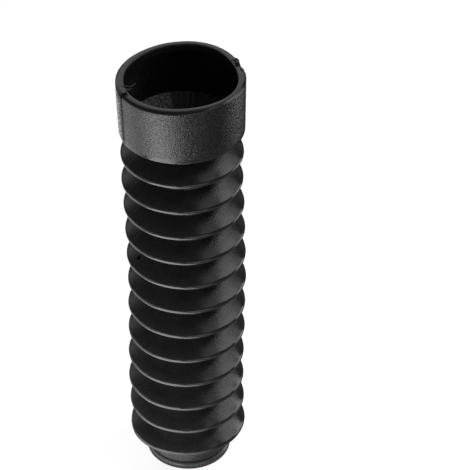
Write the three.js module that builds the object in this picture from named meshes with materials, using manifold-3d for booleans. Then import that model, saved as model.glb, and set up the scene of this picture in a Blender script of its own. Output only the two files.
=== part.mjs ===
import * as THREE from 'three';
import { mergeVertices } from 'three/addons/utils/BufferGeometryUtils.js';
import Module from 'manifold-3d';

// Fork gaiter: one moulded rubber bellows, standing on its neck with the collar up.
// Lengths are millimetres. The origin is the centre of the neck's end face, +Z runs to the collar,
// and profile points are (distance from the axis, height).

// Neck, which grips the fork tube
const neckHeight = 11.3;
const neckBoreRadius = 18.2;
const neckEdgeRound = 0.7;
const beadRadius = 23.3;
const beadHeight = 4.6;
const beadRound = 1.9;
const grooveRadius = 21.8;
const grooveWidth = 1.4;
const landRadius = 23.0;

// Folds
const foldCount = 12;
const foldPitch = 16.8;
const neckFoldRadius = 31.6;
const collarFoldRadius = 32.1;
const valleyRadius = 22.2;
const crestRound = 1.7;
const valleyRound = 0.9;
const foldWall = 1.7;
const crestWall = 2.3;
const innerCrestRound = 0.6;

// Collar, which sits over the lower fork leg
const collarHeight = 29.6;
const collarFootRadius = 32.8;
const collarFootRound = 0.7;
const collarFootDrop = 1.3;
const collarRimRadius = 33.2;
const collarBoreRadius = 29.2;
const rimOuterRound = 1.1;
const rimInnerRound = 0.5;
const lipDepth = 4.0;
const lipInset = 0.3;

// Vent hole through the upper face of one fold
const ventFoldFromCollar = 5;
const ventDiameter = 2.5;
const ventAzimuth = -67;
const ventAlongFace = 0.55;
const ventCutterMargin = 0.8;

// Roundness of the mesh
const turnSegments = 32;
const outerSteps = { crest: 3, valley: 1 };
const innerSteps = { crest: 1, valley: 2 };
const cornerSteps = 2;
const ventSegments = 12;

// Heights and radii that follow from the sizes above
const collarLedgeHeight = neckHeight + (foldCount + 0.5) * foldPitch;
const collarFootHeight = collarLedgeHeight - collarFootDrop;
const length = collarLedgeHeight + collarHeight;
const innerValleyRadius = valleyRadius - foldWall;
const innerValleyRound = valleyRound + foldWall;
const grooveTop = beadHeight + grooveWidth;

function crestHeight(index) {
	return neckHeight + (index + 0.5) * foldPitch;
}

function crestRadius(index) {
	return THREE.MathUtils.lerp(neckFoldRadius, collarFoldRadius, index / Math.max(foldCount - 1, 1));
}

// Slope of a fold's straight face above the horizontal, tangent to the crest's and the valley's rounds.
// The collar's foot drops a little below the place where the next crest would be.
function faceSlope(crest, valley) {
	const reach = crest.radius - crest.round - valley.radius - valley.round;
	const rise = foldPitch / 2 - (crest.drop ?? 0);
	const lean = Math.atan2(reach, rise);
	return Math.acos((crest.round + valley.round) / Math.hypot(reach, rise)) - lean;
}

function arc(centreRadius, centreHeight, round, start, end, steps) {
	const points = [];
	for (let step = 0; step <= steps; step++) {
		const angle = THREE.MathUtils.lerp(start, end, step / steps);
		points.push([centreRadius + round * Math.cos(angle), centreHeight + round * Math.sin(angle)]);
	}
	return points;
}

// Height of a fold's lower face, drawn on as a straight line to the given radius
function lowerFaceHeight(crest, height, slope, radius) {
	const tangentRadius = crest.radius - crest.round + crest.round * Math.sin(slope);
	const tangentHeight = height - crest.round * Math.cos(slope);
	return tangentHeight - (tangentRadius - radius) * Math.tan(slope);
}

// Turn from straight out to square on a fold's straight face
function faceTurn(crest, valley) {
	return Math.PI / 2 - faceSlope(crest, valley);
}

// One side of the folded wall from the first crest up to the valley under the collar's own edge
function foldedSide(crests, collarEdge, valley, arcSteps) {
	const points = [];
	crests.forEach((crest, index) => {
		const crestTurn = faceTurn(crest, valley);
		const nextTurn = faceTurn(crests[index + 1] ?? collarEdge, valley);
		const height = crestHeight(index);
		points.push(...arc(
			crest.radius - crest.round,
			height,
			crest.round,
			-crestTurn,
			crestTurn,
			arcSteps.crest
		));
		points.push(...arc(
			valley.radius + valley.round,
			height + foldPitch / 2,
			valley.round,
			Math.PI + crestTurn,
			Math.PI - nextTurn,
			arcSteps.valley
		));
	});
	return points;
}

const outerValley = { radius: valleyRadius, round: valleyRound };
const innerValley = { radius: innerValleyRadius, round: innerValleyRound };
const collarFoot = { radius: collarFootRadius, round: collarFootRound, drop: collarFootDrop };
const collarCorner = { radius: collarBoreRadius, round: 0 };
const outerCrests = [];
const innerCrests = [];
for (let index = 0; index < foldCount; index++) {
	outerCrests.push({ radius: crestRadius(index), round: crestRound });
	innerCrests.push({ radius: crestRadius(index) - crestWall, round: innerCrestRound });
}

// The outer face of the neck, from its end face up to the lowest fold
function neckOutside() {
	const slope = faceSlope(outerCrests[0], outerValley);
	const beadCentre = beadRadius - beadRound;
	const quarter = Math.PI / 2;
	return [
		...arc(beadCentre, beadRound, beadRound, -quarter, 0, cornerSteps),
		...arc(beadCentre, beadHeight - beadRound, beadRound, 0, quarter, cornerSteps),
		[grooveRadius, beadHeight],
		[grooveRadius, grooveTop],
		[landRadius, grooveTop],
		[landRadius, lowerFaceHeight(outerCrests[0], crestHeight(0), slope, landRadius)]
	];
}

// The collar from the round at its foot, up the outer wall, over the rim and down the inner wall
function collarWall() {
	const footTurn = faceTurn(collarFoot, outerValley);
	const footCentre = collarFoot.radius - collarFoot.round;
	const lipHeight = length - lipDepth;
	const lipRadius = collarBoreRadius - lipInset;
	return [
		...arc(footCentre, collarFootHeight, collarFoot.round, -footTurn, 0, cornerSteps),
		...arc(
			collarRimRadius - rimOuterRound,
			length - rimOuterRound,
			rimOuterRound,
			0,
			Math.PI / 2,
			cornerSteps
		),
		[lipRadius + rimInnerRound, length],
		[lipRadius, length - rimInnerRound],
		[lipRadius, lipHeight],
		[collarBoreRadius, lipHeight - lipInset],
		[collarBoreRadius, collarLedgeHeight]
	];
}

// The bore of the neck, from the inside of the lowest fold down to the end face
function neckInside() {
	const slope = faceSlope(innerCrests[0], innerValley);
	return [
		[neckBoreRadius, lowerFaceHeight(innerCrests[0], crestHeight(0), slope, neckBoreRadius)],
		[neckBoreRadius, neckEdgeRound],
		[neckBoreRadius + neckEdgeRound, 0]
	];
}

function bellowsProfile() {
	const outside = foldedSide(outerCrests, collarFoot, outerValley, outerSteps);
	const inside = foldedSide(innerCrests, collarCorner, innerValley, innerSteps).reverse();
	const profile = [...neckOutside(), ...outside, ...collarWall(), ...inside, ...neckInside()];
	profile.push(profile[0]);
	return profile.map(([radius, height]) => new THREE.Vector2(radius, height));
}

function bellowsGeometry() {
	const turned = new THREE.LatheGeometry(bellowsProfile(), turnSegments);
	turned.rotateX(Math.PI / 2);
	return turned;
}

// A short pin across the wall of the vented fold's upper face, square to that face
function ventCutter() {
	const index = THREE.MathUtils.clamp(foldCount - ventFoldFromCollar, 0, foldCount - 1);
	const crest = outerCrests[index];
	const slope = faceSlope(crest, outerValley);
	const outward = new THREE.Vector2(Math.sin(slope), Math.cos(slope));
	const crestEnd = new THREE.Vector2(crest.radius - crest.round, crestHeight(index));
	crestEnd.addScaledVector(outward, crest.round);
	const valleyEnd = new THREE.Vector2(valleyRadius + valleyRound, crestHeight(index) + foldPitch / 2);
	valleyEnd.addScaledVector(outward, -valleyRound);
	const middle = valleyEnd.lerp(crestEnd, ventAlongFace).addScaledVector(outward, -foldWall / 2);

	const azimuth = THREE.MathUtils.degToRad(ventAzimuth);
	const radial = new THREE.Vector3(Math.sin(azimuth), -Math.cos(azimuth), 0);
	const direction = radial.clone().multiplyScalar(outward.x);
	direction.z = outward.y;
	const centre = radial.multiplyScalar(middle.x);
	centre.z = middle.y;

	const radius = ventDiameter / 2;
	const pin = new THREE.CylinderGeometry(radius, radius, foldWall + 2 * ventCutterMargin, ventSegments);
	pin.applyQuaternion(new THREE.Quaternion().setFromUnitVectors(new THREE.Vector3(0, 1, 0), direction));
	pin.translate(centre.x, centre.y, centre.z);
	return pin;
}

const wasm = await Module();
wasm.setup();

function toManifold(geometry) {
	geometry.deleteAttribute('normal');
	geometry.deleteAttribute('uv');
	const merged = mergeVertices(geometry);
	const vertProperties = new Float32Array(merged.attributes.position.array);
	const triVerts = new Uint32Array(merged.index.array);
	return new wasm.Manifold(new wasm.Mesh({ numProp: 3, vertProperties, triVerts }));
}

function toGeometry(manifold) {
	const mesh = manifold.getMesh();
	const geometry = new THREE.BufferGeometry();
	geometry.setAttribute('position', new THREE.BufferAttribute(mesh.vertProperties, 3));
	geometry.setIndex(new THREE.BufferAttribute(mesh.triVerts, 1));
	geometry.computeVertexNormals();
	return geometry;
}

const rubber = new THREE.MeshStandardMaterial({ color: 0x1d1d1e, roughness: 0.75, metalness: 0 });

const vented = toManifold(bellowsGeometry()).subtract(toManifold(ventCutter()));
const gaiter = new THREE.Mesh(toGeometry(vented), rubber);
gaiter.name = 'gaiter';

const forkGaiter = new THREE.Group();
forkGaiter.add(gaiter);

export default forkGaiter;
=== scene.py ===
import math
import random

import bpy
import numpy as np
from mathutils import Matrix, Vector


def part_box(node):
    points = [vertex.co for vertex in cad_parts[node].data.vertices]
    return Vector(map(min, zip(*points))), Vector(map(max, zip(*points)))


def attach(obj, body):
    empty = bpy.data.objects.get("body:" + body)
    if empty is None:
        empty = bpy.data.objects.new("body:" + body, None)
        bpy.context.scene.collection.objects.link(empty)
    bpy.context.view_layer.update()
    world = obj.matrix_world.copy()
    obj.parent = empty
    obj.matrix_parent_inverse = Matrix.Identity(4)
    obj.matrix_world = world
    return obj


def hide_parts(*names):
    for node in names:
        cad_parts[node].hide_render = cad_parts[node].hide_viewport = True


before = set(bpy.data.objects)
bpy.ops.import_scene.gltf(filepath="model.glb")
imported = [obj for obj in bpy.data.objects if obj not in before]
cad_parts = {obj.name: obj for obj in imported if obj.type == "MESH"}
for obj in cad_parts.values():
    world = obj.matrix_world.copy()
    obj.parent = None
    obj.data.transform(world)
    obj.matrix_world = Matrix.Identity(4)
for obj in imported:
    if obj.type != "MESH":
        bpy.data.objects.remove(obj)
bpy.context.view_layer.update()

LOW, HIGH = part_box("gaiter")

# Sizes of the gaiter in millimetres, as the solid has them
MM = 0.001
LENGTH = (HIGH.z - LOW.z) / MM
RIM_RADIUS = (HIGH.x - LOW.x) / MM / 2
NECK_HEIGHT = 11.3
NECK_BORE_RADIUS = 18.2
NECK_EDGE_ROUND = 0.7
BEAD_RADIUS = 23.3
BEAD_HEIGHT = 4.6
BEAD_ROUND = 1.9
GROOVE_RADIUS = 21.8
GROOVE_WIDTH = 1.4
LAND_RADIUS = 23.0
FOLD_COUNT = 12
FOLD_PITCH = 16.8
NECK_FOLD_RADIUS = 31.6
COLLAR_FOLD_RADIUS = 32.1
VALLEY_RADIUS = 22.2
CREST_ROUND = 1.7
VALLEY_ROUND = 0.9
FOLD_WALL = 1.7
CREST_WALL = 2.3
INNER_CREST_ROUND = 0.6
FOOT_RADIUS = 32.8
FOOT_ROUND = 0.7
FOOT_DROP = 1.3
COLLAR_BORE_RADIUS = 29.2
LIP_DEPTH = 4.0
LIP_INSET = 0.3

# Finer shape that the solid leaves plain, in millimetres and degrees. A turn is counted from straight out
LAND_EDGE_ROUND = 0.6
RIM_OUTER_ROUND = 0.5
RIM_CHAMFER = 1.1
RIM_CHAMFER_TURN = 57.0
RIM_SHOULDER_ROUND = 0.8
RIM_CROWN_ROUND = 9.5
RIM_CROWN_TURN = (82.0, 97.0)
RIM_INNER_ROUND = 0.4
LIP_ROUND = 0.25
LIP_TURN = (180.0, 234.0)

# Mould part line, two azimuths in degrees from -Y towards +X. It slants a little down the collar
SEAM_AZIMUTHS = (-62.0, 117.0)
SEAM_SLANT = -1.8
SEAM_SLANT_REACH = (9.0, 2.7)

# Relief of the part line in millimetres: a fine ridge on the folds, a groove with a lip and a step on the
# collar. Each pair gives where the shape starts and where it is full
SEAM_RIDGE = 0.05
SEAM_RIDGE_WIDTH = 0.3
SEAM_RIDGE_START = (0.3, 1.5)
SEAM_GROOVE = 0.7
SEAM_GROOVE_WIDTH = 0.55
SEAM_GROOVE_SHADE = (0.85, 0.45)
SEAM_LIP = 0.22
SEAM_LIP_WIDTH = 0.4
SEAM_LIP_OFFSET = 1.0
SEAM_STEP = 0.45
SEAM_STEP_EDGE = (0.15, -0.35)
SEAM_STEP_REACH = (-26.0, -1.0)
SEAM_STEP_DEPTH = (0.3, 3.0)
SEAM_WALL_INSET = 2.0
COLLAR_START = (-0.2, 0.6)

# Bites out of the rim where the flash was trimmed: azimuth, half width, depth, inner radius that stays
RIM_BITES = (
    (-62.8, 2.1, 1.5, 29.7),
    (106.5, 7.8, 1.8, 29.7),
)

# Share of the half width where a bite is full, and how it fades towards the bore and down the wall
BITE_CORE = 0.75
BITE_EDGE = 0.25
BITE_DEPTH_FADE = (2.6, 0.6)

# How far the open rim is out of round: waves per turn, reach in millimetres, azimuth of the swell
RIM_WAVES = (
    (2, 0.55, -55.0),
    (3, 0.75, -62.0),
    (4, 0.20, -20.0),
)

# Where the open rim bulges out or dips in: azimuth, half width in degrees, reach
RIM_BULGES = (
    (-122.0, 26.0, 0.55),
    (143.0, 24.0, 0.6),
    (183.0, 10.0, -0.2),
)

# Where the collar's wall is thicker or thinner at the rim, in the same terms. The bore stays as it is, and
# the change is full this far inside the outer wall
RIM_THICKER = (
    (56.0, 29.0, -0.95),
    (100.0, 12.0, 0.2),
)
THICKER_INSET = 0.3

# The rim's own shape fades out this far under the collar's foot
RIM_SHAPE_REACH = 12.0

# The lowest fold stands proud at the front left: azimuth, half width in degrees, reach. The swell's middle
# is a little below the crest, and it spans this far up and down
FOLD_SWELL = ((-52.0, 26.0, 1.2),)
FOLD_SWELL_DROP = 1.5
FOLD_SWELL_SPAN = 8.0

# Unevenness of each fold, in millimetres: how far its crest wanders out and up
FOLD_WANDER_OUT = 0.10
FOLD_WANDER_UP = 0.09
WANDER_WAVES = (2, 3, 5, 9)
WANDER_STRENGTH = (0.5, 1.0)
WANDER_SEED = 11

# How the soft rubber stands: at each height, how far the axis drifts sideways and back
DRIFT = (
    (0.0, 0.45, 0.0),
    (25.0, 0.3, -0.2),
    (50.0, -0.5, -0.8),
    (85.0, 0.1, 0.1),
    (125.0, 0.9, 1.0),
    (160.0, 0.0, 0.3),
    (190.0, -1.0, -0.2),
    (221.0, -0.8, 0.0),
    (251.0, -0.8, 0.1),
)

# Vent hole through the upper face of the fifth fold under the collar
VENT_FOLD = FOLD_COUNT - 5
VENT_DIAMETER = 2.5
VENT_AZIMUTH = -67.0
VENT_ALONG_FACE = 0.55
VENT_MARGIN = 0.8
VENT_SIDES = 24
SHARP_ANGLE = 50.0

# Fineness of the turned mesh: steps of the rounds, steps of the straight stretches between them, and then
# columns around, with more of them at the part line
BEAD_STEPS = 7
LAND_EDGE_STEPS = 4
FOOT_STEPS = 5
LIP_STEPS = 3
RIM_STEPS = {"outer": 4, "chamfer": 3, "shoulder": 4, "crown": 6, "inner": 5}
OUTER_STEPS = {"crest": 6, "valley": 3, "face": 4}
INNER_STEPS = {"crest": 2, "valley": 3, "face": 1}
NECK_STRAIGHTS = (2, 2, 2, 3)
COLLAR_STRAIGHTS = (14, 4, 2)
OUTSIDE_STRAIGHTS = (4, 5)
INSIDE_STRAIGHTS = (6, 3)
TURN_STEPS = 170
SEAM_REACH = 3.4
SEAM_STEPS = 14
SEAM_STEP_GROWTH = 1.8

# How close the outline's points stand to a round, so that its shading stays crisp, at most this share of
# the straight stretch, and how close one stands above the ledge, so that its masks end there
JOINT_MARGIN = 0.22
JOINT_MARGIN_SHARE = 0.2
LEDGE_MARGIN = 0.4


# Rises smoothly from 0 at the start to 1 at the end, also where the end is the lower value
def smooth(start, end, value):
    share = np.clip((value - start) / (end - start), 0.0, 1.0)
    return share * share * (3.0 - 2.0 * share)


# Outline of the turned shape, a list of (distance from the axis, height) points
def arc(radius, height, round_radius, start, end, steps):
    points = []
    for step in range(steps + 1):
        angle = start + (end - start) * step / steps
        points.append((radius + round_radius * math.cos(angle), height + round_radius * math.sin(angle)))
    return points


def arc_from(point, round_radius, start, end, steps):
    radius = point[0] - round_radius * math.cos(start)
    height = point[1] - round_radius * math.sin(start)
    return arc(radius, height, round_radius, start, end, steps)


# The points between two ends of a straight stretch
def straight(start, end, steps):
    length = math.hypot(end[0] - start[0], end[1] - start[1])
    margin = min(JOINT_MARGIN / length, JOINT_MARGIN_SHARE)
    points = []
    for step in range(1, steps):
        share = 0.5 if steps == 2 else margin + (1.0 - 2.0 * margin) * (step - 1) / (steps - 2)
        points.append((start[0] + (end[0] - start[0]) * share, start[1] + (end[1] - start[1]) * share))
    return points


# Stretches in a row, with a number of steps along the straight way from each to the next
def joined(stretches, steps_between):
    points = list(stretches[0])
    for stretch, steps in zip(stretches[1:], steps_between):
        points += straight(points[-1], stretch[0], steps)
        points += stretch
    return points


def crest_height(index):
    return NECK_HEIGHT + (index + 0.5) * FOLD_PITCH


def crest_radius(index):
    share = index / (FOLD_COUNT - 1)
    return NECK_FOLD_RADIUS + (COLLAR_FOLD_RADIUS - NECK_FOLD_RADIUS) * share


# Slope of a fold's straight face, tangent to the rounds of its crest and valley, each (radius, round)
def face_slope(crest, valley, drop=0.0):
    reach = crest[0] - crest[1] - valley[0] - valley[1]
    rise = FOLD_PITCH / 2 - drop
    return math.acos((crest[1] + valley[1]) / math.hypot(reach, rise)) - math.atan2(reach, rise)


def face_turn(crest, valley, drop=0.0):
    return math.pi / 2 - face_slope(crest, valley, drop)


def lower_face_height(crest, height, valley, radius):
    slope = face_slope(crest, valley)
    tangent_radius = crest[0] - crest[1] + crest[1] * math.sin(slope)
    tangent_height = height - crest[1] * math.cos(slope)
    return tangent_height - (tangent_radius - radius) * math.tan(slope)


OUTER_VALLEY = (VALLEY_RADIUS, VALLEY_ROUND)
INNER_VALLEY = (VALLEY_RADIUS - FOLD_WALL, VALLEY_ROUND + FOLD_WALL)
OUTER_CRESTS = [(crest_radius(index), CREST_ROUND) for index in range(FOLD_COUNT)]
INNER_CRESTS = [(crest_radius(index) - CREST_WALL, INNER_CREST_ROUND) for index in range(FOLD_COUNT)]
FOOT = (FOOT_RADIUS, FOOT_ROUND)
CORNER = (COLLAR_BORE_RADIUS, 0.0)
LEDGE_HEIGHT = crest_height(FOLD_COUNT)
FOOT_HEIGHT = LEDGE_HEIGHT - FOOT_DROP


def folded_side(crests, collar_edge, drop, valley, steps):
    stretches = []
    for index, crest in enumerate(crests):
        turn = face_turn(crest, valley)
        if index + 1 < len(crests):
            next_turn = face_turn(crests[index + 1], valley)
        else:
            next_turn = face_turn(collar_edge, valley, drop)
        height = crest_height(index)
        stretches.append(arc(crest[0] - crest[1], height, crest[1], -turn, turn, steps["crest"]))
        stretches.append(arc(
            valley[0] + valley[1], height + FOLD_PITCH / 2, valley[1],
            math.pi + turn, math.pi - next_turn, steps["valley"],
        ))
    return joined(stretches, [steps["face"]] * (len(stretches) - 1))


def neck_outside():
    groove_top = BEAD_HEIGHT + GROOVE_WIDTH
    land_top = lower_face_height(OUTER_CRESTS[0], crest_height(0), OUTER_VALLEY, LAND_RADIUS)
    bead_middle = BEAD_RADIUS - BEAD_ROUND
    quarter = math.pi / 2
    return joined([
        arc(bead_middle, BEAD_ROUND, BEAD_ROUND, -quarter, 0.0, BEAD_STEPS),
        arc(bead_middle, BEAD_HEIGHT - BEAD_ROUND, BEAD_ROUND, 0.0, quarter, BEAD_STEPS),
        [(GROOVE_RADIUS, BEAD_HEIGHT), (GROOVE_RADIUS, groove_top)],
        arc(
            LAND_RADIUS - LAND_EDGE_ROUND, groove_top + LAND_EDGE_ROUND, LAND_EDGE_ROUND,
            -quarter, 0.0, LAND_EDGE_STEPS,
        ),
        [(LAND_RADIUS, land_top)],
    ], NECK_STRAIGHTS)


# The rim from the outer round up a chamfer and over a slightly domed face to the small inner round
def rim_top():
    start, end = (math.radians(turn) for turn in RIM_CROWN_TURN)
    lean = math.radians(RIM_CHAMFER_TURN)
    outer = arc(RIM_RADIUS - RIM_OUTER_ROUND, 0.0, RIM_OUTER_ROUND, 0.0, lean, RIM_STEPS["outer"])
    low = outer[-1]
    high = (low[0] - RIM_CHAMFER * math.sin(lean), low[1] + RIM_CHAMFER * math.cos(lean))
    chamfer = straight(low, high, RIM_STEPS["chamfer"])
    shoulder = arc_from(high, RIM_SHOULDER_ROUND, lean, start, RIM_STEPS["shoulder"])
    crown = arc_from(shoulder[-1], RIM_CROWN_ROUND, start, end, RIM_STEPS["crown"])
    inner = arc_from(crown[-1], RIM_INNER_ROUND, end, math.pi, RIM_STEPS["inner"])
    top = shoulder[-1][1] + RIM_CROWN_ROUND * (1.0 - math.sin(start))
    points = outer + chamfer + shoulder + crown[1:] + inner[1:]
    return [(radius, height + LENGTH - top) for radius, height in points]


# The collar from its foot up the outer wall, over the rim and down the inner wall to the ledge
def collar_wall():
    foot_turn = face_turn(FOOT, OUTER_VALLEY, FOOT_DROP)
    lip_height = LENGTH - LIP_DEPTH
    lip_middle = COLLAR_BORE_RADIUS - LIP_INSET + LIP_ROUND
    lip_start, lip_end = (math.radians(turn) for turn in LIP_TURN)
    return joined([
        arc(FOOT_RADIUS - FOOT_ROUND, FOOT_HEIGHT, FOOT_ROUND, -foot_turn, 0.0, FOOT_STEPS),
        rim_top(),
        arc(lip_middle, lip_height, LIP_ROUND, lip_start, lip_end, LIP_STEPS),
        [
            (COLLAR_BORE_RADIUS, lip_height - LIP_INSET - LIP_ROUND),
            (COLLAR_BORE_RADIUS, LEDGE_HEIGHT + LEDGE_MARGIN),
            (COLLAR_BORE_RADIUS, LEDGE_HEIGHT),
        ],
    ], COLLAR_STRAIGHTS)


def neck_inside():
    top = lower_face_height(INNER_CRESTS[0], crest_height(0), INNER_VALLEY, NECK_BORE_RADIUS)
    return [
        (NECK_BORE_RADIUS, top),
        (NECK_BORE_RADIUS, NECK_EDGE_ROUND),
        (NECK_BORE_RADIUS + NECK_EDGE_ROUND, 0.0),
    ]


def outline():
    outside = joined([
        neck_outside(),
        folded_side(OUTER_CRESTS, FOOT, FOOT_DROP, OUTER_VALLEY, OUTER_STEPS),
        collar_wall(),
    ], OUTSIDE_STRAIGHTS)
    inside = folded_side(INNER_CRESTS, CORNER, 0.0, INNER_VALLEY, INNER_STEPS)
    inside.reverse()
    return joined([outside, inside, neck_inside()], INSIDE_STRAIGHTS)


# The turned shape as a grid of points, rows along the outline and columns around the axis
def turn_angles():
    reach = math.radians(SEAM_REACH)
    angles = []
    for step in range(TURN_STEPS):
        angle = -math.pi + 2 * math.pi * step / TURN_STEPS
        if all(abs(angle - math.radians(seam)) > reach for seam in SEAM_AZIMUTHS):
            angles.append(angle)
    for seam in SEAM_AZIMUTHS:
        for step in range(-SEAM_STEPS, SEAM_STEPS + 1):
            share = step / SEAM_STEPS
            angles.append(math.radians(seam) + reach * math.copysign(abs(share) ** SEAM_STEP_GROWTH, share))
    return np.array(sorted(angles))


def outline_normals(points):
    along = np.roll(points, -1, axis=0) - np.roll(points, 1, axis=0)
    normals = np.stack([along[:, 1], -along[:, 0]], axis=1)
    return normals / np.linalg.norm(normals, axis=1, keepdims=True)


# Degrees from an azimuth, between -180 and 180
def degrees_from(azimuth, angles):
    return (np.degrees(angles) - azimuth + 180.0) % 360.0 - 180.0


def nearest_seam(angles):
    nearest = np.full_like(angles, 360.0)
    for seam in SEAM_AZIMUTHS:
        offset = degrees_from(seam, angles)
        nearest = np.where(np.abs(offset) < np.abs(nearest), offset, nearest)
    return nearest


# Bulges and dips around the axis, each (azimuth, half width, reach)
def bulged(angles, bulges):
    swell = np.zeros_like(angles)
    for azimuth, half_width, reach in bulges:
        swell += reach * np.exp(-(degrees_from(azimuth, angles) / half_width) ** 2)
    return swell


def slanted(angles, height):
    slant = SEAM_SLANT * np.clip((LENGTH - height) / (LENGTH - FOOT_HEIGHT), 0.0, 1.0)
    near = smooth(*SEAM_SLANT_REACH, np.abs(nearest_seam(angles)))
    return angles + np.radians(slant * near)


def rim_swell(angles):
    swell = bulged(angles, RIM_BULGES)
    for waves, reach, azimuth in RIM_WAVES:
        swell += reach * np.cos(waves * (angles - math.radians(azimuth)))
    return swell


def rim_thicker(angles, radius):
    return bulged(angles, RIM_THICKER) * smooth(COLLAR_BORE_RADIUS, RIM_RADIUS - THICKER_INSET, radius)


def drift_at(heights):
    knots = np.array(DRIFT)
    sideways = np.interp(heights, knots[:, 0], knots[:, 1])
    back = np.interp(heights, knots[:, 0], knots[:, 2])
    return sideways, back


def seam_relief(angles, radius, height):
    offset = nearest_seam(angles)
    along = np.radians(offset) * radius
    ridge = SEAM_RIDGE * np.exp(-(along / SEAM_RIDGE_WIDTH) ** 2) * smooth(*SEAM_RIDGE_START, height)
    groove = SEAM_GROOVE * np.exp(-(along / SEAM_GROOVE_WIDTH) ** 2)
    lip = SEAM_LIP * np.exp(-((along - SEAM_LIP_OFFSET) / SEAM_LIP_WIDTH) ** 2)
    step = SEAM_STEP * smooth(*SEAM_STEP_EDGE, along) * smooth(*SEAM_STEP_REACH, offset)
    step = step * smooth(*SEAM_STEP_DEPTH, LENGTH - height)
    on_collar = smooth(*COLLAR_START, height - FOOT_HEIGHT)
    return ridge * (1.0 - on_collar) + (step + lip - groove) * on_collar


def fold_wander(angles, height):
    draw = random.Random(WANDER_SEED)
    out = np.zeros_like(angles)
    up = np.zeros_like(angles)
    for index in range(FOLD_COUNT):
        share = smooth(FOLD_PITCH, 0.0, np.abs(height - crest_height(index)))
        for waves in WANDER_WAVES:
            phase_out = draw.uniform(0.0, 2 * math.pi)
            phase_up = draw.uniform(0.0, 2 * math.pi)
            strength = draw.uniform(*WANDER_STRENGTH) * 2.0 / waves
            out += share * FOLD_WANDER_OUT * strength * np.cos(waves * angles + phase_out)
            up += share * FOLD_WANDER_UP * strength * np.cos(waves * angles + phase_up)
    return out, up


def lowest_fold_swell(angles, height):
    away = np.abs(height - crest_height(0) + FOLD_SWELL_DROP)
    return bulged(angles, FOLD_SWELL) * smooth(FOLD_SWELL_SPAN, 0.0, away)


def rim_bite(angles, radius, height):
    bite = np.zeros_like(angles)
    for azimuth, half_width, depth, kept_radius in RIM_BITES:
        across = smooth(half_width, half_width * BITE_CORE, np.abs(degrees_from(azimuth, angles)))
        outward = smooth(kept_radius, kept_radius + BITE_EDGE, radius)
        bite = np.maximum(bite, depth * across * outward)
    return bite * smooth(*BITE_DEPTH_FADE, LENGTH - height)


# Masks for the rubber's looks, one value for each row of the outline or for each point of the grid. Lengths
# are millimetres, a pair says where a mask starts and where it is full, and a share how strong it is
MASK_MARGIN = 0.1
CREST_WEAR_AND_HIGHLIGHT = (0.8, 0.05)
RIM_WEAR_AND_HIGHLIGHT = (1.45, 1.2)
FOOT_WEAR_AND_HIGHLIGHT = (1.3, 0.7)
FOOT_WEAR_AND_HIGHLIGHT_INSET = 0.5
BEAD_WEAR_AND_HIGHLIGHT_FACING = (0.4, 1.2)
LEDGE_SPAN = 8.5
INNER_WALL_PAINTED_LIGHT = 0.45
NECK_INSET = 0.3
BEAD_TOP_MARGIN = 0.5
LAND_REACH_UP = 3.5
LAND_REACH_OUT = 2.0
LAND_PAINTED_REFLECTION = 0.35
FOLD_TEXTURE = 0.4
COLLAR_TEXTURE = 1.0
COLLAR_TEXTURE_INSET = 0.2
COLLAR_TEXTURE_DROP = 1.0
EDGE_TEXTURE_LOSS = 0.85
LIGHT_POOL_AZIMUTH = -148.0
LIGHT_POOL_FADE = (26.0, 13.0)


# Crests, the rim's top, the foot's edge and the bead's outer face: wear, with a painted highlight in their
# colour
def edge_mask(points):
    radius, height = points.T
    crests = np.zeros(len(points))
    for index, crest in enumerate(OUTER_CRESTS):
        past = np.hypot(radius - crest[0] + CREST_ROUND, height - crest_height(index)) - CREST_ROUND
        crests = np.maximum(crests, smooth(*CREST_WEAR_AND_HIGHLIGHT, past))
    rim = smooth(*RIM_WEAR_AND_HIGHLIGHT, LENGTH - height)
    foot = smooth(*FOOT_WEAR_AND_HIGHLIGHT, np.hypot(radius - FOOT_RADIUS + FOOT_WEAR_AND_HIGHLIGHT_INSET, height - FOOT_HEIGHT))
    bead = smooth(*BEAD_WEAR_AND_HIGHLIGHT_FACING, outline_normals(points)[:, 0]) * (height < BEAD_HEIGHT)
    return np.maximum.reduce([crests, rim, foot, bead])


def ledge_mask(points):
    radius, height = points.T
    within = (height > LEDGE_HEIGHT - LEDGE_SPAN) & (height < LEDGE_HEIGHT + MASK_MARGIN)
    return (within & (radius < COLLAR_BORE_RADIUS + MASK_MARGIN)).astype(float)


# Painted light inside the collar: a lighter colour on the inner wall, and more of it on the ledge
def inside_painted_light_mask(points):
    radius, height = points.T
    wall = (radius < COLLAR_BORE_RADIUS + MASK_MARGIN) & (height > LEDGE_HEIGHT - MASK_MARGIN)
    return np.maximum(INNER_WALL_PAINTED_LIGHT * wall, ledge_mask(points))


# Painted reflection on the neck: a lighter colour on the bead, less on the land, for the bright floor they
# mirror
def neck_painted_reflection_mask(points):
    radius, height = points.T
    outer = radius > GROOVE_RADIUS + NECK_INSET
    bead = outer & (height <= BEAD_HEIGHT + BEAD_TOP_MARGIN)
    land = outer & (height < crest_height(0) - LAND_REACH_UP) & (radius < LAND_RADIUS + LAND_REACH_OUT)
    return np.where(bead, 1.0, LAND_PAINTED_REFLECTION * land)


def texture_mask(points):
    radius, height = points.T
    outside = radius > COLLAR_BORE_RADIUS + COLLAR_TEXTURE_INSET
    on_collar = outside & (height > FOOT_HEIGHT - COLLAR_TEXTURE_DROP)
    strength = np.where(on_collar, COLLAR_TEXTURE, FOLD_TEXTURE)
    return strength * (1.0 - EDGE_TEXTURE_LOSS * edge_mask(points))


# A painted pool of light on the ledge inside the collar
def painted_light_pool_mask(points, angles):
    return ledge_mask(points)[:, None] * smooth(*LIGHT_POOL_FADE, np.abs(degrees_from(LIGHT_POOL_AZIMUTH, angles)))


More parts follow.
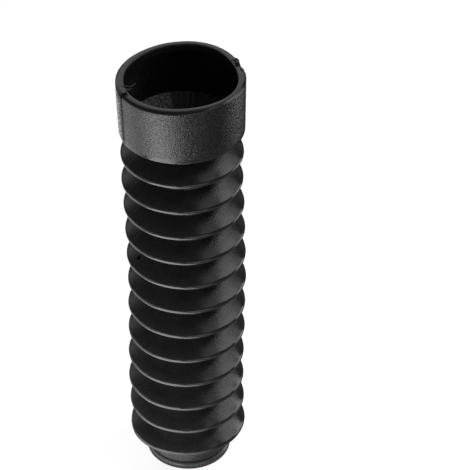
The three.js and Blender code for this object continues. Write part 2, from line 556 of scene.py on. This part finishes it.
# Painted shade in the part line's groove on the collar's outer wall
def seam_painted_shade_mask(angles, radius, height):
    along = np.abs(np.radians(nearest_seam(angles)) * radius)
    on_wall = smooth(*COLLAR_START, height - FOOT_HEIGHT) * (radius > COLLAR_BORE_RADIUS + SEAM_WALL_INSET)
    return smooth(*SEAM_GROOVE_SHADE, along) * on_wall


ROW_MASKS = {
    "edge": edge_mask,
    "ledge": ledge_mask,
    "inside": inside_painted_light_mask,
    "neck": neck_painted_reflection_mask,
    "texture": texture_mask,
}


# The part line's relief lies on the outer wall, on rows that face outward and aren't in the neck's bore
OUTWARD = -0.05
NECK_WALL_INSET = 2.0


def mesh_from(name, vertices, faces):
    mesh = bpy.data.meshes.new(name)
    mesh.from_pydata(vertices, [], faces)
    mesh.polygons.foreach_set("use_smooth", [True] * len(mesh.polygons))
    mesh.update()
    return mesh


def grid_faces(rows, columns):
    faces = []
    for row in range(rows):
        above = (row + 1) % rows
        for column in range(columns):
            beside = (column + 1) % columns
            faces.append((
                row * columns + column, row * columns + beside,
                above * columns + beside, above * columns + column,
            ))
    return faces


def gaiter_mesh():
    points = np.array(outline())
    angles = turn_angles()
    grid = (len(points), len(angles))
    radius = np.broadcast_to(points[:, :1], grid)
    height = np.broadcast_to(points[:, 1:], grid)
    turn = np.broadcast_to(angles, grid)
    normals = outline_normals(points)
    normal_out, normal_up = normals[:, :1], normals[:, 1:]

    outer = (normal_out > OUTWARD) & (radius > NECK_BORE_RADIUS + NECK_WALL_INSET)
    relief = seam_relief(turn, radius, height) * outer
    seam = seam_painted_shade_mask(turn, radius, height)
    out, up = fold_wander(turn, height)
    swell = lowest_fold_swell(turn, height)
    turn = slanted(turn, height)
    bite = rim_bite(turn, radius, height)
    radius = radius + normal_out * relief + out + swell
    height = height + normal_up * relief + up - bite
    rim_share = smooth(FOOT_HEIGHT - RIM_SHAPE_REACH, LENGTH, height)
    radius = radius + (rim_swell(turn) + rim_thicker(turn, radius)) * rim_share

    sideways, back = drift_at(height)
    x = radius * np.sin(turn) + sideways
    y = -radius * np.cos(turn) + back
    vertices = np.stack([x, y, height], axis=-1).reshape(-1, 3) * MM
    mesh = mesh_from("gaiter_rubber", vertices.tolist(), grid_faces(*grid))
    masks = {name: np.repeat(mask(points), grid[1]) for name, mask in ROW_MASKS.items()}
    masks["painted_light_pool"] = painted_light_pool_mask(points, turn).ravel()
    masks["seam"] = seam.ravel()
    for name, values in masks.items():
        mesh.attributes.new(name, "FLOAT", "POINT").data.foreach_set("value", values.astype(np.float32))
    mesh.update()
    return mesh


# A point on the drifting wall, from its distance to the axis, azimuth in degrees and height
def wall_point(radius, azimuth, height):
    angle = math.radians(azimuth)
    sideways, back = (float(value) for value in drift_at(height))
    return Vector((radius * math.sin(angle) + sideways, -radius * math.cos(angle) + back, height))


# Loose flash at the rim. Each strand has a width and a thickness in millimetres, and knots: the distance
# from the axis, the azimuth in degrees and the height above the rim
LEFT_FLASH = (
    (1.5, 0.7, (
        (31.0, -75.5, -0.3), (29.4, -74.0, 0.0), (27.4, -71.6, 0.1), (25.6, -72.6, 0.2), (23.9, -75.4, 0.3),
    )),
    (1.2, 0.6, ((31.6, -66.0, -0.4), (30.0, -66.9, -0.1), (28.2, -67.8, -0.1), (26.6, -68.6, 0.0))),
    (2.6, 0.4, ((31.2, -70.5, -0.7), (29.6, -70.2, -0.5), (28.2, -70.0, -0.4), (27.0, -70.0, -0.3))),
)
RIGHT_FLASH = (
    (1.5, 0.6, ((32.0, 122.5, -1.1), (32.6, 119.5, -0.3), (32.7, 115.5, -0.2), (32.3, 112.5, -1.3))),
    (1.5, 0.6, ((31.8, 97.0, -1.3), (32.2, 100.0, -0.7), (32.2, 104.0, -0.8), (31.9, 108.0, -1.7))),
)

# Fineness of a strand, and how it thins towards its end
STRAND_SIDES = 8
STRAND_STEPS = 6
STRAND_TAPER = 0.75
STRAND_TAPER_POWER = 1.5


# A smooth path through the knots
def strand_path(knots):
    points = [wall_point(radius, azimuth, LENGTH + above) for radius, azimuth, above in knots]
    path = []
    for index in range(len(points) - 1):
        before = points[max(index - 1, 0)]
        after = points[min(index + 2, len(points) - 1)]
        start, end = points[index], points[index + 1]
        for step in range(STRAND_STEPS):
            share = step / STRAND_STEPS
            path.append(0.5 * (
                2 * start + (end - before) * share
                + (2 * before - 5 * start + 4 * end - after) * share ** 2
                + (3 * start - before - 3 * end + after) * share ** 3
            ))
    path.append(points[-1])
    return path


def strand_ring(path, step, width, thickness):
    ahead = path[min(step + 1, len(path) - 1)]
    behind = path[max(step - 1, 0)]
    along = (ahead - behind).normalized()
    across = along.cross(Vector((0.0, 0.0, 1.0))).normalized()
    up = across.cross(along)
    taper = 1.0 - STRAND_TAPER * (step / (len(path) - 1)) ** STRAND_TAPER_POWER
    ring = []
    for side in range(STRAND_SIDES):
        angle = 2 * math.pi * side / STRAND_SIDES
        offset = across * math.cos(angle) * width / 2 + up * math.sin(angle) * thickness / 2
        ring.append(tuple((path[step] + offset * taper) * MM))
    return ring


def strand_faces(start, rings):
    faces = []
    for ring in range(rings - 1):
        low = start + ring * STRAND_SIDES
        high = low + STRAND_SIDES
        for side in range(STRAND_SIDES):
            beside = (side + 1) % STRAND_SIDES
            faces.append((low + side, high + side, high + beside, low + beside))
    last = start + (rings - 1) * STRAND_SIDES
    faces.append(tuple(start + side for side in range(STRAND_SIDES)))
    faces.append(tuple(last + side for side in reversed(range(STRAND_SIDES))))
    return faces


def flash_mesh(name, strands):
    vertices = []
    faces = []
    for width, thickness, knots in strands:
        path = strand_path(knots)
        faces += strand_faces(len(vertices), len(path))
        for step in range(len(path)):
            vertices += strand_ring(path, step, width, thickness)
    return mesh_from(name, vertices, faces)


# A pin through the wall of the vented fold's upper face, square to that face
def vent_cutter():
    crest = OUTER_CRESTS[VENT_FOLD]
    height = crest_height(VENT_FOLD)
    slope = face_slope(crest, OUTER_VALLEY)
    outward = (math.sin(slope), math.cos(slope))
    crest_end = (crest[0] - CREST_ROUND + outward[0] * CREST_ROUND, height + outward[1] * CREST_ROUND)
    valley_end = (
        VALLEY_RADIUS + VALLEY_ROUND - outward[0] * VALLEY_ROUND,
        height + FOLD_PITCH / 2 - outward[1] * VALLEY_ROUND,
    )
    middle_radius, middle_height = (
        low + (high - low) * VENT_ALONG_FACE - outward[axis] * FOLD_WALL / 2
        for axis, (low, high) in enumerate(zip(valley_end, crest_end))
    )
    turn = math.radians(VENT_AZIMUTH)
    direction = Vector((outward[0] * math.sin(turn), -outward[0] * math.cos(turn), outward[1]))
    bpy.ops.mesh.primitive_cylinder_add(
        vertices=VENT_SIDES, radius=VENT_DIAMETER / 2 * MM, depth=(FOLD_WALL + 2 * VENT_MARGIN) * MM,
        location=wall_point(middle_radius, VENT_AZIMUTH, middle_height) * MM,
        rotation=direction.to_track_quat("Z", "Y").to_euler(),
    )
    return bpy.context.object


def cut_vent(piece):
    cutter = vent_cutter()
    cut = piece.modifiers.new("vent", "BOOLEAN")
    cut.operation = "DIFFERENCE"
    cut.solver = "EXACT"
    cut.object = cutter
    evaluated = piece.evaluated_get(bpy.context.evaluated_depsgraph_get())
    vented = bpy.data.meshes.new_from_object(evaluated)
    piece.modifiers.clear()
    plain = piece.data
    piece.data = vented
    vented.name = plain.name
    bpy.data.meshes.remove(plain)
    bpy.data.objects.remove(cutter)
    vented.set_sharp_from_angle(angle=math.radians(SHARP_ANGLE))


def new_piece(mesh, material):
    piece = bpy.data.objects.new(mesh.name, mesh)
    bpy.context.scene.collection.objects.link(piece)
    piece.data.materials.append(material)
    return piece


def build_gaiter(material):
    piece = new_piece(gaiter_mesh(), material)
    cut_vent(piece)
    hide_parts("gaiter")
    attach(piece, "root")


def build_flash(name, strands, material):
    piece = new_piece(flash_mesh(name, strands), material)
    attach(piece, "root")


# Adds nodes to one tree and joins them. An input takes a plain value or another node's output
class Nodes:
    def __init__(self, tree):
        self.tree = tree

    def feed(self, socket, value):
        if isinstance(value, bpy.types.NodeSocket):
            self.tree.links.new(value, socket)
        else:
            socket.default_value = value

    def add(self, kind, inputs=None, **settings):
        made = self.tree.nodes.new("ShaderNode" + kind)
        for name, value in settings.items():
            setattr(made, name, value)
        for name, value in (inputs or {}).items():
            self.feed(made.inputs[name], value)
        return made

    def combined(self, operation, one, other):
        return self.add("Math", {0: one, 1: other}, operation=operation).outputs["Value"]

    def ranged(self, source, low, high, to_low, to_high, interpolation="LINEAR"):
        inputs = {"Value": source, "From Min": low, "From Max": high, "To Min": to_low, "To Max": to_high}
        return self.add("MapRange", inputs, interpolation_type=interpolation).outputs["Result"]

    def noise(self, place, scale, detail, roughness, **settings):
        inputs = {**place, "Scale": scale, "Detail": detail, "Roughness": roughness}
        return self.add("TexNoise", inputs, **settings).outputs["Fac"]

    # A Mix node has its colours on inputs 6 and 7 and their mix on output 2
    def mixed(self, factor, one, other):
        return self.add("Mix", {0: factor, 6: one, 7: other}, data_type="RGBA").outputs[2]

    def mask(self, name):
        return self.add("Attribute", attribute_name=name).outputs["Fac"]


# Noises in the rubber: scale, detail and roughness
PATCHES = (55.0, 3.0, 0.55)
SCUFFS = (420.0, 2.0, 0.6)
GRAIN = (1900.0, 0.0, 0.5)
SPECKLE = (1000.0, 0.0, 0.5)
RAYS = (26.0, 2.0, 0.7)

# Part of each noise's range that counts
PATCH_RANGE = (0.3, 0.7)
SCUFF_RANGE = (0.35, 0.6)
SPECKLE_RANGE = (0.3, 0.7)
LIGHT_POOL_SPECKLE_RANGE = (0.35, 0.65)

# Colours: the plain rubber in its darker and lighter patches, then wear, painted light and painted shade
# over it
DARK_PATCH = (0.010, 0.010, 0.0105, 1.0)
PALE_PATCH = (0.017, 0.017, 0.0177, 1.0)
# Edges lighter partly from wear and partly as a painted highlight
WORN_AND_HIGHLIT = (0.032, 0.032, 0.033, 1.0)
# Painted light: the lighter colour inside the collar
INNER_PAINTED_LIGHT = (0.04, 0.04, 0.041, 1.0)
# Painted reflection: the lighter colour of the neck's bead and land
NECK_PAINTED_REFLECTION = (0.1, 0.1, 0.102, 1.0)
# Painted light: the pale colour of the pool on the ledge, broken up by speckle
LEDGE_PAINTED_LIGHT = (0.5, 0.5, 0.5, 1.0)
# Painted shade: the near black of the part line's groove
SEAM_PAINTED_SHADE = (0.002, 0.002, 0.002, 1.0)
LEAST_WEAR_AND_HIGHLIGHT = 0.5
LEAST_LIGHT_POOL = 0.2

# Roughness of the patches, and what the collar, its speckle, the ledge, the worn edges and the seam change
ROUGHNESS = (0.215, 0.265)
COLLAR_ROUGHER = 0.05
SPECKLE_ROUGHNESS = 0.17
LEDGE_ROUGHER = 0.12
EDGE_SMOOTHER = 0.12
SEAM_ROUGHER = 0.5
RUBBER_IOR = 1.55

# Height of the bumps, in metres
GRAIN_BUMP = 0.0002
RAY_BUMP = 0.0009


def rubber_colour(nodes, patches, scuffs, speckle):
    ramp = nodes.add("ValToRGB", {"Fac": patches})
    for element, position, colour in zip(ramp.color_ramp.elements, PATCH_RANGE, (DARK_PATCH, PALE_PATCH)):
        element.position = position
        element.color = colour
    scuffed = nodes.ranged(scuffs, *SCUFF_RANGE, LEAST_WEAR_AND_HIGHLIGHT, 1.0)
    pool_speckle = nodes.ranged(speckle, *LIGHT_POOL_SPECKLE_RANGE, LEAST_LIGHT_POOL, 1.0)
    # Wear and painted highlight on the edges
    worn_and_highlit = nodes.combined("MULTIPLY", nodes.mask("edge"), scuffed)
    # Painted pool of light on the ledge, broken up by speckle
    light_pool = nodes.combined("MULTIPLY", nodes.mask("painted_light_pool"), pool_speckle)
    colour = nodes.mixed(worn_and_highlit, ramp.outputs["Color"], WORN_AND_HIGHLIT)
    # Painted light inside the collar
    colour = nodes.mixed(nodes.mask("inside"), colour, INNER_PAINTED_LIGHT)
    # Painted reflection on the neck's bead and land
    colour = nodes.mixed(nodes.mask("neck"), colour, NECK_PAINTED_REFLECTION)
    colour = nodes.mixed(light_pool, colour, LEDGE_PAINTED_LIGHT)
    # Painted shade in the part line's groove
    return nodes.mixed(nodes.mask("seam"), colour, SEAM_PAINTED_SHADE)


def rubber_roughness(nodes, patches, speckle, texture):
    plain = nodes.combined(
        "ADD", nodes.ranged(patches, *PATCH_RANGE, *ROUGHNESS),
        nodes.ranged(texture, FOLD_TEXTURE, COLLAR_TEXTURE, 0.0, COLLAR_ROUGHER),
    )
    speckled = nodes.combined(
        "MULTIPLY", nodes.ranged(speckle, *SPECKLE_RANGE, -SPECKLE_ROUGHNESS, SPECKLE_ROUGHNESS), texture,
    )
    rough = nodes.combined("ADD", plain, speckled)
    for operation, name, change in (
        ("ADD", "ledge", LEDGE_ROUGHER),
        ("SUBTRACT", "edge", EDGE_SMOOTHER),
        ("ADD", "seam", SEAM_ROUGHER),
    ):
        rough = nodes.combined(operation, rough, nodes.combined("MULTIPLY", nodes.mask(name), change))
    return rough


# Fine grain all over, and creases that run out from the axis on the ledge
def rubber_bumps(nodes, place, grain, texture):
    split = nodes.add("SeparateXYZ", {"Vector": place})
    turn = nodes.combined("ARCTAN2", split.outputs["X"], split.outputs["Y"])
    rays = nodes.noise({"W": turn}, *RAYS, noise_dimensions="1D")
    grain_height = nodes.combined("MULTIPLY", grain, texture)
    ray_height = nodes.combined("MULTIPLY", rays, nodes.mask("ledge"))
    fine = nodes.add("Bump", {"Strength": 1.0, "Distance": GRAIN_BUMP, "Height": grain_height})
    creased = nodes.add("Bump", {
        "Strength": 1.0, "Distance": RAY_BUMP, "Height": ray_height, "Normal": fine.outputs["Normal"],
    })
    return creased.outputs["Normal"]


def rubber_material():
    material = bpy.data.materials.new("moulded_rubber")
    material.use_nodes = True
    nodes = Nodes(material.node_tree)
    place = nodes.add("TexCoord").outputs["Object"]
    patches, scuffs, grain, speckle = (
        nodes.noise({"Vector": place}, *sizes) for sizes in (PATCHES, SCUFFS, GRAIN, SPECKLE)
    )
    texture = nodes.mask("texture")
    shader = nodes.tree.nodes["Principled BSDF"]
    nodes.feed(shader.inputs["IOR"], RUBBER_IOR)
    nodes.feed(shader.inputs["Base Color"], rubber_colour(nodes, patches, scuffs, speckle))
    nodes.feed(shader.inputs["Roughness"], rubber_roughness(nodes, patches, speckle, texture))
    nodes.feed(shader.inputs["Normal"], rubber_bumps(nodes, place, grain, texture))
    return material


# Camera, at the photograph's angle: metres, degrees, and the lens in millimetres
CAMERA_PLACE = (0.0, -1.1286, 1.0296)
CAMERA_PITCH = 37.98
CAMERA_YAW = 1.35
CAMERA_LENS = 206.0
SENSOR_WIDTH = 36.0
CLIP_NEAR = 0.05
CLIP_FAR = 50.0


def build_camera():
    data = bpy.data.cameras.new("camera")
    data.lens = CAMERA_LENS
    data.sensor_width = SENSOR_WIDTH
    data.sensor_fit = "HORIZONTAL"
    data.clip_start = CLIP_NEAR
    data.clip_end = CLIP_FAR
    camera = bpy.data.objects.new("camera", data)
    camera.location = CAMERA_PLACE
    camera.rotation_euler = (math.radians(90.0 - CAMERA_PITCH), 0.0, -math.radians(CAMERA_YAW))
    bpy.context.scene.collection.objects.link(camera)
    bpy.context.scene.camera = camera


# Studio lights: azimuth from -Y towards +X and elevation in degrees, distance and sizes in metres
PANEL_LIFT = 0.002


def panel(name, width, height, radiance):
    data = bpy.data.lights.new(name, "AREA")
    data.shape = "RECTANGLE"
    data.size = width
    data.size_y = height
    data.energy = radiance * math.pi * width * height
    light = bpy.data.objects.new(name, data)
    light.visible_camera = False
    bpy.context.scene.collection.objects.link(light)
    return light


# A softbox that faces the gaiter's axis at a height
def softbox(name, azimuth, elevation, distance, aim_height, width, height, radiance):
    light = panel(name, width, height, radiance)
    turn = math.radians(azimuth)
    rise = math.radians(elevation)
    toward = Vector((math.sin(turn) * math.cos(rise), -math.cos(turn) * math.cos(rise), math.sin(rise)))
    light.location = Vector((0.0, 0.0, aim_height)) + toward * distance
    light.rotation_euler = toward.to_track_quat("Z", "Y").to_euler()


# A panel that lies on the floor from near to far and shines up
def lying_panel(name, azimuth, near, far, width, radiance):
    light = panel(name, width, far - near, radiance)
    turn = math.radians(azimuth)
    middle = (near + far) / 2
    light.location = (middle * math.sin(turn), -middle * math.cos(turn), PANEL_LIFT)
    light.rotation_euler = (math.pi, 0.0, turn)


# A lying panel gives azimuth, near, far, width and radiance. A softbox gives azimuth, elevation, distance,
# aim height, width, height and radiance
def build_lights():
    lying_panel("front_left_panel", -35.0, 0.05, 0.42, 0.22, 3.4)
    lying_panel("neck_panel", -28.0, 0.0248, 0.05, 0.10, 0.75)
    softbox("front_left_card", -31.0, 0.0, 0.42, 0.05, 0.34, 0.10, 4.5)
    softbox("front_card", 22.0, 4.0, 0.80, 0.13, 0.60, 0.36, 1.05)
    softbox("left_card", -82.0, 0.0, 0.42, 0.10, 0.42, 0.20, 1.3)
    lying_panel("left_panel", -104.0, 0.12, 0.42, 0.28, 0.75)
    lying_panel("back_left_panel", -158.0, 0.16, 0.42, 0.20, 1.15)
    softbox("right_softbox", 104.0, 37.0, 0.90, 0.13, 0.66, 0.56, 0.82)
    softbox("right_core", 98.0, 39.0, 0.88, 0.13, 0.38, 0.38, 0.85)
    softbox("high_softbox", 66.0, 55.0, 0.90, 0.20, 0.36, 0.34, 0.55)
    softbox("right_card", 108.0, 0.0, 0.40, 0.12, 0.20, 0.24, 2.2)


# The sky is white to the camera. The gaiter sees a dark studio with a pale wall behind it, which fades in
# towards its middle and ends above the floor and below the sky
WHITE = (1.0, 1.0, 1.0, 1.0)
WALL_TOWARD = (-0.12, 0.993, 0.0)
WALL_LEVEL = 0.72
WALL_SIDES = (0.64, 0.93)
WALL_TOP = (0.60, 0.85)
WALL_FOOT = (0.0, 0.3)
DARK_LEVEL = 0.07


def build_world():
    world = bpy.data.worlds.new("studio")
    bpy.context.scene.world = world
    world.use_nodes = True
    nodes = Nodes(world.node_tree)
    split = nodes.add("SeparateXYZ", {"Vector": nodes.add("TexCoord").outputs["Generated"]})
    x, y, z = split.outputs
    level_way = nodes.add("CombineXYZ", {"X": x, "Y": y}).outputs["Vector"]
    unit = nodes.add("VectorMath", {0: level_way}, operation="NORMALIZE").outputs["Vector"]
    toward = nodes.add("VectorMath", {0: unit, 1: WALL_TOWARD}, operation="DOT_PRODUCT").outputs["Value"]
    around = nodes.ranged(toward, *WALL_SIDES, 0.0, WALL_LEVEL, "SMOOTHSTEP")
    above = nodes.ranged(z, *WALL_TOP, 1.0, 0.0, "SMOOTHSTEP")
    below = nodes.ranged(z, *WALL_FOOT, 0.0, 1.0, "SMOOTHSTEP")
    wall = nodes.combined("MULTIPLY", around, nodes.combined("MULTIPLY", above, below))
    seen = nodes.combined("ADD", wall, DARK_LEVEL)
    to_camera = nodes.add("LightPath").outputs["Is Camera Ray"]
    background = nodes.tree.nodes["Background"]
    nodes.feed(background.inputs["Color"], WHITE)
    nodes.feed(background.inputs["Strength"], nodes.combined("MAXIMUM", seen, to_camera))


# The floor looks pale to the camera. What the gaiter reflects of it has painted shade: darker to the right,
# and to the back right and front left. A fall goes over a range, in metres or square metres, from one level
# to another
FLOOR_SIZE = 6.0
FLOOR_COLOUR = (0.8, 0.8, 0.8, 1.0)
FLOOR_GLOW = 0.8
FLOOR_FALL = (-0.12, 0.16, 0.8, 0.3)
CORNER_FALL = (0.0, 0.03, 1.0, 0.3)


def floor_material():
    material = bpy.data.materials.new("pale_floor")
    material.use_nodes = True
    nodes = Nodes(material.node_tree)
    nodes.tree.nodes.remove(nodes.tree.nodes["Principled BSDF"])
    split = nodes.add("SeparateXYZ", {"Vector": nodes.add("TexCoord").outputs["Object"]})
    x, y = split.outputs["X"], split.outputs["Y"]
    # Painted shade on the floor as the gaiter sees it
    rightward = nodes.ranged(x, *FLOOR_FALL, "SMOOTHSTEP")
    cornerward = nodes.ranged(nodes.combined("MULTIPLY", x, y), *CORNER_FALL, "SMOOTHSTEP")
    reflected = nodes.add("BsdfDiffuse", {"Color": nodes.combined("MULTIPLY", rightward, cornerward)})
    plain = nodes.add("BsdfDiffuse", {"Color": FLOOR_COLOUR})
    glow = nodes.add("Emission", {"Strength": FLOOR_GLOW})
    seen = nodes.add("AddShader", {0: plain.outputs["BSDF"], 1: glow.outputs["Emission"]})
    to_camera = nodes.add("LightPath").outputs["Is Camera Ray"]
    surface = nodes.add("MixShader", {0: to_camera, 1: reflected.outputs["BSDF"], 2: seen.outputs["Shader"]})
    nodes.feed(nodes.tree.nodes["Material Output"].inputs["Surface"], surface.outputs["Shader"])
    return material


def build_floor():
    bpy.ops.mesh.primitive_plane_add(size=FLOOR_SIZE, location=(0.0, 0.0, 0.0))
    floor = bpy.context.object
    floor.name = "floor"
    floor.data.materials.append(floor_material())


build_camera()
rubber = rubber_material()
build_gaiter(rubber)
build_flash("rim_flash_left", LEFT_FLASH, rubber)
build_flash("rim_flash_right", RIGHT_FLASH, rubber)
build_lights()
build_world()
build_floor()
bpy.context.scene.view_settings.view_transform = "Standard"
